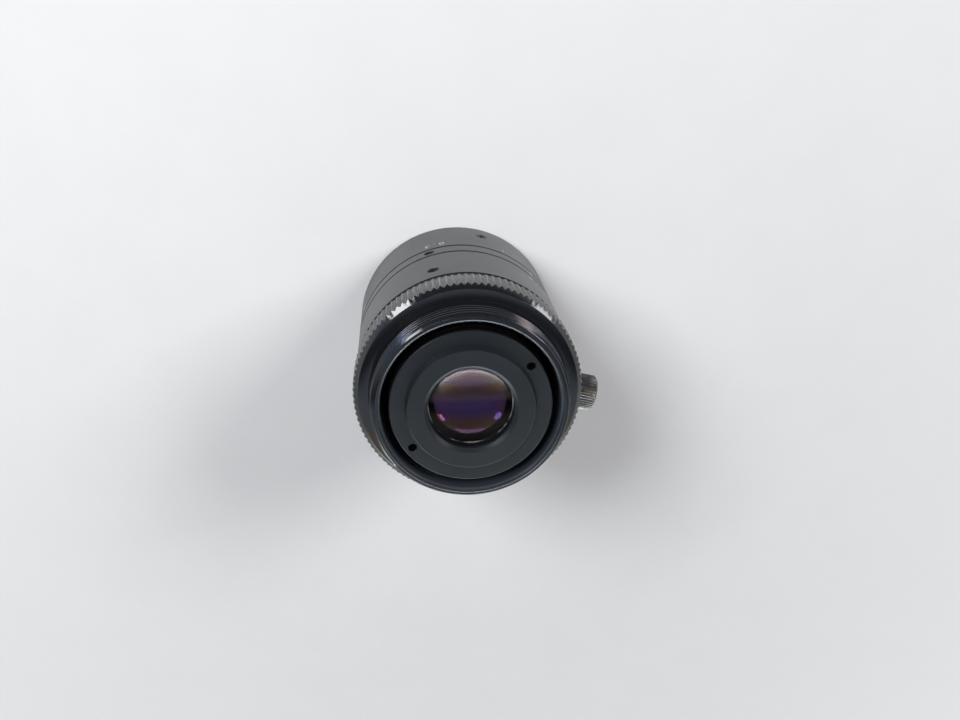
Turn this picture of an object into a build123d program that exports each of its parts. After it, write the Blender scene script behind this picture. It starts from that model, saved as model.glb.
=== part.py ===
"""A fixed focal length lens for machine vision cameras, with a 1 inch C-mount, a lockable iris ring
and a lockable focus ring.

The lens stands on its front rim with the mount on top. The origin is the centre of the mount's flange
face, and Z runs along the optical axis towards the camera. Everything is in millimetres.
"""

from build123d import *
from math import acos, asin, atan2, copysign, cos, degrees, hypot, radians, sin, sqrt
import os

# The threaded mount
thread_diameter = 25.4
thread_length = 4.3
thread_end_chamfer = 0.35
boss_wall = 1.2
boss_bore_chamfer = 0.25

# The fixed tube that the rings turn on
journal_step = 0.5
grip_seat_step = 0.2
nose_wall = 0.55
nose_end_gap = 0.2

# The outer rings, from the mount to the front
ring_wall = 1.5
ring_gap = 0.2
edge_chamfer = 0.15
grip_ring_length = 4.55
grip_ring_web = 1.2
grip_ring_proud = 0.25
grip_chamfer_width = 0.75
grip_chamfer_length = 0.75
knurl_teeth = 108
knurl_depth = 0.26
iris_ring_length = 11.0
index_ring_length = 2.85
focus_ring_length = 10.5
front_edge_chamfer = 0.35

# Clearances, and how far a cut reaches past the wall that it opens
running_clearance = 0.05
end_clearance = 0.1
slot_clearance = 0.1
cut_margin = 1.0

# Focusing
focus_travel_angle = 120.0
focus_lead = 5.76
filter_wall = 1.5
filter_bore_depth = 2.1
filter_lead_chamfer = 0.25
focus_web = 0.7
nut_wall = 0.6
nut_rear_gap = 0.6
nut_flange_height = 0.65
nut_flange_length = 0.7
lock_ring_length = 1.2
guide_pin_diameter = 1.4
guide_pin_angles = (50.0, 230.0)
guide_slot_depth = 0.85

# The moving lens unit
unit_gap = 1.15
unit_wall = 0.9
unit_recess = 0.3
helicoid_wall = 2.3
helicoid_length = 6.3
land_length = 0.6
land_height = 1.5
cell_wall = 1.9
cell_flange_length = 1.4
hub_width = 2.56
hub_rise = 0.85
hub_slope = 0.3
rear_opening_chamfer = 0.45
rear_seat_width = 2.05
rear_seat_depth = 1.1
spanner_hole_diameter = 1.1
spanner_hole_depth = 1.2
spanner_hole_angle = 35.5
spanner_notch_width = 1.0
spanner_notch_depth = 0.6

# The front glasses, their spacers and the ring in front of them. Each curve is the radius of a polished
# face, stated as a ratio to the glass's own radius, and a negative one bulges to the rear.
glass_clearance = 0.05
front_glass_gap = 0.2
front_ring_wall = 1.1
front_ring_length = 2.3
front_ring_flare = 0.7
front_ring_straight = 0.6
front_glass_length = 3.0
front_glass_front_ratio = 2.5
front_glass_rear_ratio = 3.4
front_spacer_length = 1.4
front_spacer_wall = 1.4
second_glass_length = 2.4
second_glass_front_ratio = 2.7
second_glass_rear_ratio = 2.05
middle_spacer_length = 1.4
middle_spacer_wall = 1.6
third_glass_length = 2.4
third_glass_front_ratio = -4.5
third_glass_rear_ratio = -6.8

# The rear glasses
rear_glass_length = 2.3
rear_glass_front_ratio = 4.5
rear_glass_rear_ratio = -2.15
rear_spacer_wall = 1.15
rear_spacer_length = 2.2
crown_edge = 0.35
crown_rear_ratio = -3.2
cement_ratio = 2.4
flint_centre = 0.79
flint_front_ratio = -5.3
rear_ring_length = 0.7

# The iris
iris_travel_angle = 48.0
iris_smallest_diameter = 0.74
iris_base_thickness = 0.6
blade_count = 6
blade_thickness = 0.12
blade_step = 0.2
blade_headroom = 0.15
blade_edge_clearance = 0.1
blade_width = 2.9
blade_span_angle = 118.0
blade_heel_angle = 4.0
blade_pivot_inset = 1.25
blade_pin_diameter = 0.6
blade_pin_gap = 1.0
blade_arm = 2.0
blade_ear = 0.65
cam_plate_thickness = 0.5
cam_plate_rim = 0.4
cam_floor = 0.2
cam_end_wall = 0.5
cam_wall = 0.65
cam_bore_step = 0.4
drive_pin_diameter = 1.2
drive_pin_angle = 285.0
drive_pin_head_diameter = 2.0
drive_pin_head_depth = 0.6
snap_ring_width = 1.0
snap_ring_thickness = 0.5
snap_ring_depth = 0.3
snap_ring_opening_angle = 28.0

# The lock screws, and the set screws of the index ring
lock_places = 3
lock_screw_diameter = 1.5
lock_hole_diameter = 1.6
iris_hole_offset = 4.15
iris_hole_angle = 105.9
iris_lock_angle = 345.9
focus_hole_offset = 1.3
focus_hole_angle = 75.2
focus_lock_angle = 315.2
lock_tip_gap = 0.05
lock_head_stand_off = 0.4
lock_collar_length = 0.8
lock_collar_step = 0.25
lock_head_length = 2.85
lock_head_diameter = 5.0
lock_head_chamfer = 0.35
lock_head_teeth = 40
lock_head_knurl_depth = 0.15
set_screw_diameter = 1.4
set_screw_angle = 107.0
set_screw_recess = 0.3
set_screw_socket = 0.7
set_screw_socket_depth = 0.6


def rise(curve, radius):
    """How far a polished face lies above its middle at a radius. It is negative if the face bulges up."""
    size = abs(curve)
    return copysign(size - sqrt(size * size - radius * radius), curve)


# Radii, from the mount thread inwards and outwards
thread_radius = thread_diameter / 2
boss_bore_radius = thread_radius - boss_wall
grip_seat_radius = thread_radius + grip_seat_step
journal_radius = thread_radius + journal_step
ring_bore_radius = journal_radius + running_clearance
barrel_radius = ring_bore_radius + ring_wall
outside_radius = barrel_radius + cut_margin
grip_radius = barrel_radius + grip_ring_proud
filter_radius = barrel_radius - filter_wall
nose_counterbore_radius = journal_radius - nose_wall
nose_bore_radius = nose_counterbore_radius - nut_flange_height
nut_radius = nose_bore_radius - running_clearance
nut_bore_radius = nut_radius - nut_wall
helicoid_radius = nut_bore_radius - running_clearance
unit_radius = boss_bore_radius - unit_gap
guide_slot_floor = unit_radius - guide_slot_depth
front_bore_radius = helicoid_radius - helicoid_wall
front_glass_radius = front_bore_radius - front_glass_gap
front_ring_radius = front_bore_radius - front_ring_wall
front_spacer_radius = front_bore_radius - front_spacer_wall
middle_spacer_radius = front_bore_radius - middle_spacer_wall
land_radius = front_bore_radius - land_height
rear_bore_radius = unit_radius - unit_wall
cell_bore_radius = rear_bore_radius - cell_wall
rear_glass_radius = cell_bore_radius - glass_clearance
rear_spacer_radius = cell_bore_radius - rear_spacer_wall
rear_opening_radius = cell_bore_radius - rear_seat_width
hub_radius = rear_opening_radius + hub_width
cam_radius = rear_bore_radius - 2 * running_clearance
blade_pivot_radius = rear_bore_radius - blade_pivot_inset
blade_outer_radius = blade_pivot_radius - blade_pin_gap
blade_inner_radius = blade_outer_radius - blade_width
iris_opening_radius = blade_inner_radius - blade_edge_clearance
cam_bore_radius = iris_opening_radius + cam_bore_step

# Curves of the polished faces
front_glass_front_curve = front_glass_front_ratio * front_glass_radius
front_glass_rear_curve = front_glass_rear_ratio * front_glass_radius
second_glass_front_curve = second_glass_front_ratio * front_glass_radius
second_glass_rear_curve = second_glass_rear_ratio * front_glass_radius
third_glass_front_curve = third_glass_front_ratio * front_glass_radius
third_glass_rear_curve = third_glass_rear_ratio * front_glass_radius
rear_glass_front_curve = rear_glass_front_ratio * rear_glass_radius
rear_glass_rear_curve = rear_glass_rear_ratio * rear_glass_radius
crown_rear_curve = crown_rear_ratio * rear_glass_radius
cement_curve = cement_ratio * rear_glass_radius
flint_front_curve = flint_front_ratio * rear_glass_radius

# Heights of the rings
iris_ring_top = -grip_ring_length - ring_gap
iris_ring_end = iris_ring_top - iris_ring_length
index_ring_top = iris_ring_end - ring_gap
index_ring_end = index_ring_top - index_ring_length
focus_ring_top = index_ring_end - ring_gap
front_rim = focus_ring_top - focus_ring_length
web_front = front_rim + filter_bore_depth
web_rear = web_front + focus_web
nose_end = web_rear + nose_end_gap
lock_ring_front = nose_end + ring_gap
lock_ring_rear = lock_ring_front + lock_ring_length
nut_flange_front = lock_ring_rear + end_clearance
nut_flange_rear = nut_flange_front + nut_flange_length
counterbore_floor = nut_flange_rear + end_clearance
nut_rear = focus_ring_top - nut_rear_gap
iris_hole_height = iris_ring_top - iris_hole_offset
focus_hole_height = nose_end + focus_hole_offset
set_screw_height = (index_ring_top + index_ring_end) / 2
focus_travel = focus_lead * focus_travel_angle / 360

# Heights of the rear group, from the cell's face to its front end
unit_rear_face = thread_length - unit_recess
cell_flange_front = unit_rear_face - cell_flange_length
rear_seat = unit_rear_face - rear_seat_depth
rear_spacer_rear = rear_seat - rear_glass_length
rear_glass_rear_middle = rear_seat - rise(rear_glass_rear_curve, rear_opening_radius)
rear_glass_front_middle = rear_spacer_rear - rise(rear_glass_front_curve, rear_spacer_radius)
rear_spacer_front = rear_spacer_rear - rear_spacer_length
crown_rear_middle = rear_spacer_front - rise(crown_rear_curve, rear_spacer_radius)
cement_edge = crown_rear_middle + rise(crown_rear_curve, rear_glass_radius) - crown_edge
cement_middle = cement_edge - rise(cement_curve, rear_glass_radius)
flint_front_middle = cement_middle - flint_centre
rear_ring_rear = flint_front_middle + rise(flint_front_curve, rear_glass_radius)
rear_ring_front = rear_ring_rear - rear_ring_length

# Heights of the iris, from the rear group's end to the land in front of it
snap_ring_rear = rear_ring_front - end_clearance
snap_ring_front = snap_ring_rear - snap_ring_thickness
cam_rear = snap_ring_front - end_clearance
cam_slot_rear = cam_rear - cam_end_wall
drive_pin_height = cam_slot_rear - slot_clearance - drive_pin_diameter / 2 - focus_travel
cam_slot_front = drive_pin_height - drive_pin_diameter / 2 - slot_clearance
cam_plate_rear = cam_slot_front - cam_floor
cam_plate_front = cam_plate_rear - cam_plate_thickness
iris_base_rear = cam_plate_front - blade_count * blade_step - blade_headroom
land_rear = iris_base_rear - iris_base_thickness
land_front = land_rear - land_length

# Heights of the front group, from the land to the lens unit's front face
middle_spacer_rear = land_front - third_glass_length
middle_spacer_front = middle_spacer_rear - middle_spacer_length
front_spacer_rear = middle_spacer_front - second_glass_length
front_spacer_front = front_spacer_rear - front_spacer_length
front_glass_seat = front_spacer_front - front_glass_length
unit_front_face = front_glass_seat - front_ring_length
helicoid_rear = unit_front_face + helicoid_length

# How a blade is driven. Its arm starts as far out as the cam ring's rim allows, and it swings until the
# blades just leave the smallest opening.
arm_start_radius = cam_radius - cam_plate_rim - blade_pin_diameter / 2 - slot_clearance
arm_start_cosine = (arm_start_radius**2 - blade_pivot_radius**2 - blade_arm**2) / (
    2 * blade_pivot_radius * blade_arm
)
arm_start_angle = degrees(acos(arm_start_cosine))
swing_offset = blade_inner_radius - iris_smallest_diameter / 2
blade_swing = 2 * degrees(asin(swing_offset / 2 / blade_pivot_radius))


def turned(*outline):
    """A turned piece, from the radius and height of each corner of its half section."""
    corners = [(radius, 0, height) for radius, height in outline]
    return revolve(make_face(Polyline(*corners, close=True)), Axis.Z)


def radial_rod(diameter, inner, outer, angle, height):
    """A rod that points straight out from the optical axis."""
    rod = Cylinder(diameter / 2, outer - inner, align=(Align.CENTER, Align.CENTER, Align.MIN))
    return Location((0, 0, height), (0, 0, angle)) * Location((inner, 0, 0), (0, 90, 0)) * rod


def places(first_angle, count=lock_places):
    """The angles of holes that are spaced evenly round a ring."""
    return [first_angle + 360 * n / count for n in range(count)]


def arc_slot(inner, outer, low, high, start, end):
    """A cutter for a slot round part of a tube, from one angle to another."""
    section = Polyline((inner, 0, low), (outer, 0, low), (outer, 0, high), (inner, 0, high), close=True)
    cutter = revolve(make_face(section), Axis.Z, revolution_arc=end - start)
    return Location((0, 0, 0), (0, 0, start)) * cutter


def serrated(tip_radius, depth, teeth, length):
    """A bar with straight V serrations, from the plane down."""
    corners = []
    for n in range(2 * teeth):
        radius = tip_radius if n % 2 == 0 else tip_radius - depth
        angle = radians(180 * n / teeth)
        corners.append((radius * cos(angle), radius * sin(angle)))
    return extrude(make_face(Polyline(*corners, close=True)), -length)


def main_barrel():
    """The fixed tube, with the mount thread at one end and the nose for the focusing nut at the other."""
    tube = turned(
        (boss_bore_radius + boss_bore_chamfer, thread_length),
        (thread_radius - thread_end_chamfer, thread_length),
        (thread_radius, thread_length - thread_end_chamfer),
        (thread_radius, 0),
        (grip_seat_radius, 0),
        (grip_seat_radius, -grip_ring_web),
        (journal_radius, -grip_ring_web),
        (journal_radius, nose_end),
        (nose_counterbore_radius, nose_end),
        (nose_counterbore_radius, counterbore_floor),
        (nose_bore_radius, counterbore_floor),
        (nose_bore_radius, index_ring_end),
        (boss_bore_radius, index_ring_end),
        (boss_bore_radius, thread_length - boss_bore_chamfer),
    )
    cut_start = boss_bore_radius - cut_margin
    cut_end = journal_radius + cut_margin
    slot_half = drive_pin_diameter / 2 + slot_clearance
    end_angle = drive_pin_angle + iris_travel_angle
    tube -= arc_slot(
        cut_start,
        cut_end,
        drive_pin_height - slot_half,
        drive_pin_height + slot_half,
        drive_pin_angle,
        end_angle,
    )
    for angle in (drive_pin_angle, end_angle):
        tube -= radial_rod(2 * slot_half, cut_start, cut_end, angle, drive_pin_height)
    for angle in guide_pin_angles:
        tube -= radial_rod(guide_pin_diameter, cut_start, cut_end, angle, set_screw_height)
    return tube


def mount_grip_ring():
    """The knurled ring that is held when the lens is screwed in. Its rear face is the mount's flange."""
    bar = serrated(grip_radius, knurl_depth, knurl_teeth, grip_ring_length)
    envelope = turned(
        (grip_seat_radius, 0),
        (grip_radius - grip_chamfer_width, 0),
        (grip_radius, -grip_chamfer_length),
        (grip_radius, edge_chamfer - grip_ring_length),
        (grip_radius - edge_chamfer - knurl_depth / 2, -grip_ring_length),
        (journal_radius, -grip_ring_length),
        (journal_radius, -grip_ring_web),
        (grip_seat_radius, -grip_ring_web),
    )
    return bar & envelope


def plain_ring(top, length, bore_radius):
    """A smooth ring of the barrel's diameter with its outer edges broken."""
    end = top - length
    return turned(
        (bore_radius, top),
        (barrel_radius - edge_chamfer, top),
        (barrel_radius, top - edge_chamfer),
        (barrel_radius, end + edge_chamfer),
        (barrel_radius - edge_chamfer, end),
        (bore_radius, end),
    )


def iris_ring():
    """The wide ring that sets the iris, with three tapped places for its lock screw."""
    ring = plain_ring(iris_ring_top, iris_ring_length, ring_bore_radius)
    for angle in places(iris_hole_angle):
        ring -= radial_rod(lock_hole_diameter, journal_radius, outside_radius, angle, iris_hole_height)
    head_floor = barrel_radius - drive_pin_head_depth
    ring -= radial_rod(drive_pin_diameter, journal_radius, outside_radius, drive_pin_angle, drive_pin_height)
    ring -= radial_rod(
        drive_pin_head_diameter, head_floor, outside_radius, drive_pin_angle, drive_pin_height
    )
    return ring


def index_ring():
    """The narrow fixed ring that carries the index line, held by three set screws."""
    ring = plain_ring(index_ring_top, index_ring_length, journal_radius)
    for angle in places(set_screw_angle):
        ring -= radial_rod(
            set_screw_diameter, journal_radius - cut_margin, outside_radius, angle, set_screw_height
        )
    return ring


def index_ring_screws():
    """Three set screws with hexagon sockets, a little below the ring's surface."""
    outer = barrel_radius - set_screw_recess
    screws = []
    for angle in places(set_screw_angle):
        screw = radial_rod(set_screw_diameter, journal_radius, outer, angle, set_screw_height)
        socket = extrude(RegularPolygon(set_screw_socket / 2, 6), set_screw_socket_depth)
        start = Location((outer - set_screw_socket_depth, 0, 0), (0, 90, 0))
        screws.append(screw - Location((0, 0, set_screw_height), (0, 0, angle)) * start * socket)
    return Compound(children=screws)


def focus_ring():
    """The front ring. Its web is screwed on the focusing nut, and its front bore takes a filter."""
    ring = turned(
        (ring_bore_radius, focus_ring_top),
        (barrel_radius - edge_chamfer, focus_ring_top),
        (barrel_radius, focus_ring_top - edge_chamfer),
        (barrel_radius, front_rim + front_edge_chamfer),
        (barrel_radius - front_edge_chamfer, front_rim),
        (filter_radius + filter_lead_chamfer, front_rim),
        (filter_radius, front_rim + filter_lead_chamfer),
        (filter_radius, web_front),
        (nut_radius, web_front),
        (nut_radius, web_rear),
        (ring_bore_radius, web_rear),
    )
    for angle in places(focus_hole_angle):
        ring -= radial_rod(lock_hole_diameter, journal_radius, outside_radius, angle, focus_hole_height)
    return ring


def focusing_nut():
    """The sleeve that turns with the focus ring. The lens barrel's coarse thread runs in its bore."""
    return turned(
        (nut_bore_radius, nut_rear),
        (nut_radius, nut_rear),
        (nut_radius, nut_flange_rear),
        (nose_counterbore_radius - running_clearance, nut_flange_rear),
        (nose_counterbore_radius - running_clearance, nut_flange_front),
        (nut_radius, nut_flange_front),
        (nut_radius, web_front),
        (nut_bore_radius, web_front),
    )


def nut_lock_ring():
    """The ring in the fixed tube's nose that keeps the focusing nut from sliding out."""
    bore_radius = nose_bore_radius + running_clearance
    ring = plain_sleeve(lock_ring_front, lock_ring_rear, nose_counterbore_radius, bore_radius)
    return with_notches(ring, bore_radius + spanner_notch_depth / 2, lock_ring_front)


def guide_pins():
    """Two pins in the fixed tube that let the lens barrel slide but not turn."""
    tip = guide_slot_floor + slot_clearance
    pins = [
        radial_rod(guide_pin_diameter, tip, journal_radius - running_clearance, angle, set_screw_height)
        for angle in guide_pin_angles
    ]
    return Compound(children=pins)


def lens_barrel():
    """The tube that holds all the glass and the iris, with the coarse focusing thread at its front."""
    barrel = turned(
        (front_bore_radius, unit_front_face),
        (helicoid_radius - edge_chamfer, unit_front_face),
        (helicoid_radius, unit_front_face + edge_chamfer),
        (helicoid_radius, helicoid_rear),
        (unit_radius, helicoid_rear),
        (unit_radius, cell_flange_front),
        (rear_bore_radius, cell_flange_front),
        (rear_bore_radius, land_rear),
        (land_radius, land_rear),
        (land_radius, land_front),
        (front_bore_radius, land_front),
    )
    slot_reach = degrees((drive_pin_diameter / 2 + 2 * slot_clearance) / rear_bore_radius)
    barrel -= arc_slot(
        rear_bore_radius - slot_clearance,
        unit_radius + cut_margin,
        cam_slot_front - slot_clearance,
        cam_slot_rear + slot_clearance,
        drive_pin_angle - slot_reach,
        drive_pin_angle + iris_travel_angle + slot_reach,
    )
    slot_length = focus_travel + 2 * slot_clearance
    slot_width = guide_pin_diameter + 2 * running_clearance
    for angle in guide_pin_angles:
        groove = extrude(SlotCenterToCenter(slot_length, slot_width), 2 * guide_slot_depth)
        upright = Location((guide_slot_floor, 0, set_screw_height + focus_travel / 2), (0, 90, 0))
        barrel -= Location((0, 0, 0), (0, 0, angle)) * upright * groove
    snap_groove = turned(
        (rear_bore_radius - cut_margin, snap_ring_front),
        (rear_bore_radius + snap_ring_depth, snap_ring_front),
        (rear_bore_radius + snap_ring_depth, snap_ring_rear),
        (rear_bore_radius - cut_margin, snap_ring_rear),
    )
    return barrel - snap_groove


def rear_cell():
    """The cell of the rear glass. Its face has two spanner holes and a raised hub round the opening."""
    hub_top = unit_rear_face + hub_rise
    cell = turned(
        (cell_bore_radius, rear_ring_front),
        (rear_bore_radius, rear_ring_front),
        (rear_bore_radius, cell_flange_front),
        (unit_radius, cell_flange_front),
        (unit_radius, unit_rear_face - edge_chamfer),
        (unit_radius - edge_chamfer, unit_rear_face),
        (hub_radius + hub_slope, unit_rear_face),
        (hub_radius, hub_top),
        (rear_opening_radius + rear_opening_chamfer, hub_top),
        (rear_opening_radius, hub_top - rear_opening_chamfer),
        (rear_opening_radius, rear_seat),
        (cell_bore_radius, rear_seat),
    )
    for angle in places(spanner_hole_angle, 2):
        floor = unit_rear_face - spanner_hole_depth
        circle_radius = (hub_radius + unit_radius) / 2
        hole = Cylinder(
            spanner_hole_diameter / 2, 2 * spanner_hole_depth, align=(Align.CENTER, Align.CENTER, Align.MIN)
        )
        cell -= Location((0, 0, floor), (0, 0, angle)) * Location((circle_radius, 0, 0)) * hole
    return cell


def plain_sleeve(low, high, outer_radius, bore_radius):
    """A plain sleeve, such as a spacer."""
    return turned((bore_radius, low), (outer_radius, low), (outer_radius, high), (bore_radius, high))


def with_notches(ring, bore_radius, face):
    """A ring with two notches in one face for a spanner, cut outwards from a radius."""
    reach = 2 * bore_radius + 2 * spanner_notch_depth
    notch = Box(reach, spanner_notch_width, 2 * spanner_notch_depth)
    core = Cylinder(bore_radius - glass_clearance, 3 * spanner_notch_depth)
    return ring - Location((0, 0, face)) * (notch - core)


def front_retaining_ring():
    """The ring in front of the first glass, flared towards the front."""
    mouth_radius = front_ring_radius + front_ring_flare
    ring = turned(
        (front_ring_radius, front_glass_seat),
        (front_bore_radius, front_glass_seat),
        (front_bore_radius, unit_front_face),
        (mouth_radius, unit_front_face),
        (front_ring_radius, front_glass_seat - front_ring_straight),
    )
    return with_notches(ring, mouth_radius - spanner_notch_depth / 2, unit_front_face)


def rear_retaining_ring():
    """The ring that holds the rear group in its cell."""
    ring = plain_sleeve(rear_ring_front, rear_ring_rear, cell_bore_radius, rear_spacer_radius)
    return with_notches(ring, rear_spacer_radius, rear_ring_front)


def glass(radius, front_curve, front_middle, rear_curve, rear_middle):
    """A glass element, from the curve of each face and its height in the middle."""
    faces = []
    for curve, middle in ((front_curve, front_middle), (rear_curve, rear_middle)):
        faces.append([(r, 0, middle + rise(curve, r)) for r in (0, radius / 2, radius)])
    front, rear = faces
    outline = [
        ThreePointArc(*front),
        Line(front[2], rear[2]),
        ThreePointArc(*rear),
        Line(rear[0], front[0]),
    ]
    return revolve(make_face(outline), Axis.Z)


def iris_base():
    """The plate that the blades pivot in. Its hole is the widest opening of the iris."""
    plate = plain_sleeve(land_rear, iris_base_rear, rear_bore_radius, iris_opening_radius)
    for n in range(blade_count):
        hole = Cylinder(blade_pin_diameter / 2 + running_clearance, 3 * iris_base_thickness)
        turn = Location((0, 0, iris_base_rear), (0, 0, 360 * n / blade_count))
        plate -= turn * Location((blade_pivot_radius, 0, 0)) * hole
    return plate


def arm_point(swing):
    """Where the pin in a blade's arm is, with the blade's pivot on the X axis, at a swing in degrees."""
    angle = radians(arm_start_angle + swing)
    return blade_pivot_radius + blade_arm * cos(angle), blade_arm * sin(angle)


def iris_blade(n):
    """A curved blade with a pivot pin on its front side and a driven pin on its rear side."""
    heel = -blade_heel_angle
    band = arc_slot(
        blade_inner_radius, blade_outer_radius, 0, blade_thickness, heel, blade_span_angle
    )
    tip_edges = band.edges().filter_by(Axis.Z).sort_by(Axis.X)[:2]
    band = fillet(tip_edges, blade_width / 4)
    arm_x, arm_y = arm_point(0)
    arm_angle = degrees(atan2(arm_y, arm_x))
    lift = (Align.CENTER, Align.CENTER, Align.MIN)
    band += arc_slot(blade_inner_radius, blade_pivot_radius, 0, blade_thickness, heel, arm_angle)
    band += Location((blade_pivot_radius, 0, 0)) * Cylinder(blade_ear, blade_thickness, align=lift)
    band += Location((arm_x, arm_y, 0)) * Cylinder(blade_ear, blade_thickness, align=lift)
    level = iris_base_rear + end_clearance + n * blade_step
    pivot_start = land_rear + end_clearance
    pivot = Cylinder(blade_pin_diameter / 2, level - pivot_start + blade_thickness, align=lift)
    driven = Cylinder(blade_pin_diameter / 2, cam_plate_rear - level, align=lift)
    blade = band + Location((blade_pivot_radius, 0, pivot_start - level)) * pivot
    blade += Location((arm_x, arm_y, 0)) * driven
    return Location((0, 0, level), (0, 0, 360 * n / blade_count)) * blade


def iris_cam_ring():
    """The ring that swings the blades. Each slot is shaped so that blades and ring turn in proportion."""
    ring = plain_sleeve(cam_plate_front, cam_plate_rear, cam_radius, cam_bore_radius)
    ring += plain_sleeve(cam_plate_rear, cam_rear, cam_radius, cam_radius - cam_wall)
    route = []
    for share in (0, 0.5, 1):
        x, y = arm_point(share * blade_swing)
        angle = atan2(y, x) - radians(share * iris_travel_angle)
        route.append((hypot(x, y) * cos(angle), hypot(x, y) * sin(angle)))
    slot = extrude(
        SlotArc(ThreePointArc(*route), blade_pin_diameter + 2 * slot_clearance), 2 * cam_plate_thickness
    )
    for n in range(blade_count):
        turn = Location((0, 0, cam_plate_front - cam_plate_thickness / 2), (0, 0, 360 * n / blade_count))
        ring -= turn * slot
    fork_width = drive_pin_diameter + 2 * running_clearance
    fork = Box(4 * cam_wall, fork_width, cam_slot_rear - cam_slot_front)
    middle = Location((cam_radius, 0, (cam_slot_rear + cam_slot_front) / 2))
    return ring - Location((0, 0, 0), (0, 0, drive_pin_angle)) * middle * fork


def iris_drive_pin():
    """The headed pin that carries the iris ring's turn through both tubes to the cam ring."""
    tip = cam_radius - cam_wall
    head_floor = barrel_radius - drive_pin_head_depth
    top = barrel_radius - running_clearance
    pin = radial_rod(drive_pin_diameter, tip, top, drive_pin_angle, drive_pin_height)
    head = radial_rod(drive_pin_head_diameter, head_floor, top, drive_pin_angle, drive_pin_height)
    slot = Box(drive_pin_head_depth, drive_pin_head_diameter * 2, drive_pin_head_depth / 2)
    turn = Location((0, 0, drive_pin_height), (0, 0, drive_pin_angle)) * Location((top, 0, 0))
    return pin + head - turn * slot


def iris_snap_ring():
    """The open spring ring behind the cam ring, in a groove of the lens barrel."""
    outer = rear_bore_radius + snap_ring_depth
    ring = plain_sleeve(snap_ring_front, snap_ring_rear, outer, outer - snap_ring_width)
    half = snap_ring_opening_angle / 2
    return ring - arc_slot(
        cut_margin,
        outer + cut_margin,
        snap_ring_front - cut_margin,
        snap_ring_rear + cut_margin,
        -half,
        half,
    )


def lock_screw(angle, height):
    """A thumb screw with a straight-knurled head, which locks a ring by pressing on the fixed tube."""
    start = barrel_radius + lock_head_stand_off
    head_radius = lock_head_diameter / 2
    tip = journal_radius + lock_tip_gap
    upright = (Align.CENTER, Align.CENTER, Align.MIN)
    shank = Cylinder(lock_screw_diameter / 2, start - tip, align=upright)
    collar = Cylinder(head_radius - lock_collar_step, lock_collar_length, align=upright)
    head_start = start + lock_collar_length
    head_end = head_start + lock_head_length
    bar = serrated(head_radius, lock_head_knurl_depth, lock_head_teeth, lock_head_length)
    bar = Location((0, 0, head_end)) * bar
    envelope = turned(
        (0, head_start),
        (head_radius - lock_head_chamfer, head_start),
        (head_radius, head_start + lock_head_chamfer),
        (head_radius, head_end - lock_head_chamfer),
        (head_radius - lock_head_chamfer, head_end),
        (0, head_end),
    )
    screw = Location((0, 0, tip)) * shank + Location((0, 0, start)) * collar + (bar & envelope)
    return Location((0, 0, height), (0, 0, angle)) * Location((0, 0, 0), (0, 90, 0)) * screw


def front_group():
    """The three glasses in front of the iris, with the spacers between them."""
    first = glass(
        front_glass_radius,
        front_glass_front_curve,
        front_glass_seat - rise(front_glass_front_curve, front_ring_radius),
        front_glass_rear_curve,
        front_spacer_front - rise(front_glass_rear_curve, front_glass_radius),
    )
    second = glass(
        front_glass_radius,
        second_glass_front_curve,
        front_spacer_rear - rise(second_glass_front_curve, front_spacer_radius),
        second_glass_rear_curve,
        middle_spacer_front - rise(second_glass_rear_curve, front_glass_radius),
    )
    third = glass(
        front_glass_radius,
        third_glass_front_curve,
        middle_spacer_rear - rise(third_glass_front_curve, front_glass_radius),
        third_glass_rear_curve,
        land_front - rise(third_glass_rear_curve, land_radius),
    )
    return {
        "front_glass": first,
        "front_spacer": plain_sleeve(
            front_spacer_front, front_spacer_rear, front_bore_radius, front_spacer_radius
        ),
        "second_glass": second,
        "middle_spacer": plain_sleeve(
            middle_spacer_front, middle_spacer_rear, front_bore_radius, middle_spacer_radius
        ),
        "third_glass": third,
    }


def rear_group():
    """The cemented pair and the rear glass, with the spacer between them."""
    flint = glass(
        rear_glass_radius, flint_front_curve, flint_front_middle, cement_curve, cement_middle
    )
    crown = glass(rear_glass_radius, cement_curve, cement_middle, crown_rear_curve, crown_rear_middle)
    last = glass(
        rear_glass_radius,
        rear_glass_front_curve,
        rear_glass_front_middle,
        rear_glass_rear_curve,
        rear_glass_rear_middle,
    )
    return {
        "pair_front_glass": flint,
        "pair_rear_glass": crown,
        "rear_spacer": plain_sleeve(
            rear_spacer_front, rear_spacer_rear, cell_bore_radius, rear_spacer_radius
        ),
        "rear_glass": last,
    }


pieces = {
    "main_barrel": main_barrel(),
    "mount_grip_ring": mount_grip_ring(),
    "iris_ring": iris_ring(),
    "index_ring": index_ring(),
    "index_ring_screws": index_ring_screws(),
    "focus_ring": focus_ring(),
    "focusing_nut": focusing_nut(),
    "nut_lock_ring": nut_lock_ring(),
    "guide_pins": guide_pins(),
    "lens_barrel": lens_barrel(),
    "rear_cell": rear_cell(),
    "front_retaining_ring": front_retaining_ring(),
    "rear_retaining_ring": rear_retaining_ring(),
    "iris_base": iris_base(),
    "iris_cam_ring": iris_cam_ring(),
    "iris_drive_pin": iris_drive_pin(),
    "iris_snap_ring": iris_snap_ring(),
    "iris_lock_screw": lock_screw(iris_lock_angle, iris_hole_height),
    "focus_lock_screw": lock_screw(focus_lock_angle, focus_hole_height),
}
pieces.update(front_group())
pieces.update(rear_group())
for blade_number in range(blade_count):
    pieces[f"iris_blade_{blade_number + 1}"] = iris_blade(blade_number)

print(f"The lens unit slides {focus_travel:.3f} mm, and a blade swings {blade_swing:.2f} degrees")
os.makedirs("parts", exist_ok=True)
for name, piece in pieces.items():
    export_step(piece, f"parts/{name}.step")
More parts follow.
